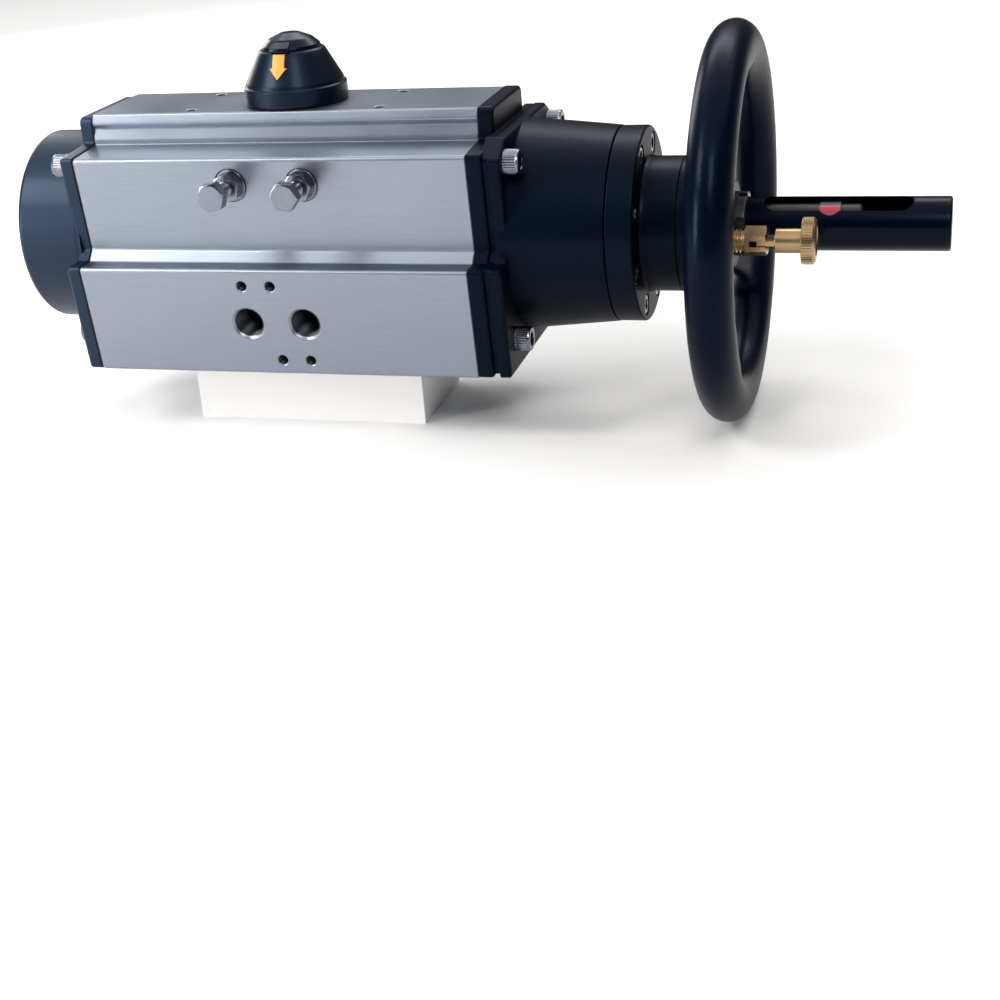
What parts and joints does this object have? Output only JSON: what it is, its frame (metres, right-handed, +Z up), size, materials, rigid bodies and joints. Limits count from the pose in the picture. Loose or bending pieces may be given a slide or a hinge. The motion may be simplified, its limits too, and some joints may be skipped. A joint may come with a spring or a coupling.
{
  "type": "rotary pneumatic actuator",
  "caption": "Quarter-turn rack and pinion pneumatic actuator with spring return, a screw handwheel override with locking plunger, and a dome position indicator.",
  "frame": {"origin": "on the pinion axis, in the bottom mounting face of the housing", "axes": "+Z up along the pinion, +X along the cylinder towards the handwheel, -Y towards the air ports"},
  "size_m": [0.3712, 0.1538, 0.1545],
  "materials": {
    "body_anodised": "satin anodised",
    "black_coated": "semi-gloss black coating",
    "gasket_rubber": "matte",
    "seal_rubber": "matte",
    "bright_steel": "bright",
    "shaft_steel": "ground",
    "spring_steel": "coated",
    "bearing_bronze": "turned",
    "piston_alloy": "machined",
    "slide_plastic": "matte",
    "brass": "polished",
    "black_plastic": "semi-gloss",
    "arrow_yellow": "matte",
    "marker_red": "matte",
    "tube_black": "gloss black coating"
  },
  "bodies": {
    "housing": {"housing_body": "body_anodised", "left_gasket": "gasket_rubber", "right_gasket": "gasket_rubber", "left_end_cap": "black_coated", "left_cap_screws": "bright_steel", "right_end_plate": "black_coated", "override_bonnet": "black_coated", "bonnet_screws": "bright_steel", "override_cover": "black_coated", "cover_screws": "bright_steel", "spindle_key": "shaft_steel", "thrust_washers": "bearing_bronze", "bearing_retainer": "black_coated", "retainer_screws": "bright_steel", "pinion_lower_bush": "slide_plastic", "pinion_upper_bush": "slide_plastic", "stop_screws": "bright_steel", "stop_lock_nuts": "bright_steel", "stop_washers": "bright_steel", "left_spring": "spring_steel", "right_spring": "spring_steel"},
    "pinion": {"pinion_shaft": "shaft_steel", "stop_cam": "shaft_steel", "pinion_seal_rings": "seal_rubber", "pinion_thrust_washer": "slide_plastic", "pinion_retaining_clip": "spring_steel", "indicator_base": "black_plastic", "indicator_cap": "black_plastic", "indicator_arrow": "arrow_yellow", "indicator_screw": "bright_steel"},
    "right_piston_group": {"right_piston": "piston_alloy", "right_piston_seal": "seal_rubber", "right_piston_guide": "slide_plastic", "right_rack_pad": "slide_plastic", "lifting_cage": "shaft_steel", "cage_screws": "bright_steel", "cage_end_ring": "shaft_steel"},
    "left_piston_group": {"left_piston": "piston_alloy", "left_piston_seal": "seal_rubber", "left_piston_guide": "slide_plastic", "left_rack_pad": "slide_plastic"},
    "spindle": {"override_spindle": "shaft_steel", "position_marker": "marker_red"},
    "handwheel_group": {"drive_sleeve": "bearing_bronze", "hub_key": "shaft_steel", "handwheel": "black_coated", "hub_lock_nut": "tube_black", "position_tube": "tube_black", "tube_end_plug": "black_plastic", "plunger_body": "brass", "plunger_spring": "spring_steel"},
    "plunger": {"plunger_pin": "shaft_steel", "plunger_blade": "brass", "plunger_knob": "brass"}
  },
  "joints": [
    {"name": "handwheel_turn", "type": "hinge", "parent": "housing", "child": "handwheel_group", "pos_m": [0, 0, 0.0494], "axis": [1, 0, 0], "range_deg": [0, 2340]},
    {"name": "spindle_slide", "type": "slide", "parent": "housing", "child": "spindle", "axis": [1, 0, 0], "range_m": [0, 0.026]},
    {"name": "right_piston_slide", "type": "slide", "parent": "housing", "child": "right_piston_group", "axis": [1, 0, 0], "range_m": [0, 0.026], "deforming": ["right_spring"]},
    {"name": "left_piston_slide", "type": "slide", "parent": "housing", "child": "left_piston_group", "axis": [-1, 0, 0], "range_m": [0, 0.026], "deforming": ["left_spring"]},
    {"name": "pinion_turn", "type": "hinge", "parent": "housing", "child": "pinion", "pos_m": [0, 0, 0], "axis": [0, 0, 1], "range_deg": [0, 90]},
    {"name": "lock_plunger_slide", "type": "slide", "parent": "handwheel_group", "child": "plunger", "axis": [1, 0, 0], "range_m": [-0.0025, 0.0045], "deforming": ["plunger_spring"]}
  ],
  "couplings": [
    {"joint": "spindle_slide", "follows": "handwheel_turn", "m_per_rad": 0.00063662},
    {"joint": "right_piston_slide", "follows": "handwheel_turn", "m_per_rad": 0.00063662},
    {"joint": "left_piston_slide", "follows": "handwheel_turn", "m_per_rad": 0.00063662},
    {"joint": "pinion_turn", "follows": "handwheel_turn", "ratio": 0.038462}
  ]
}
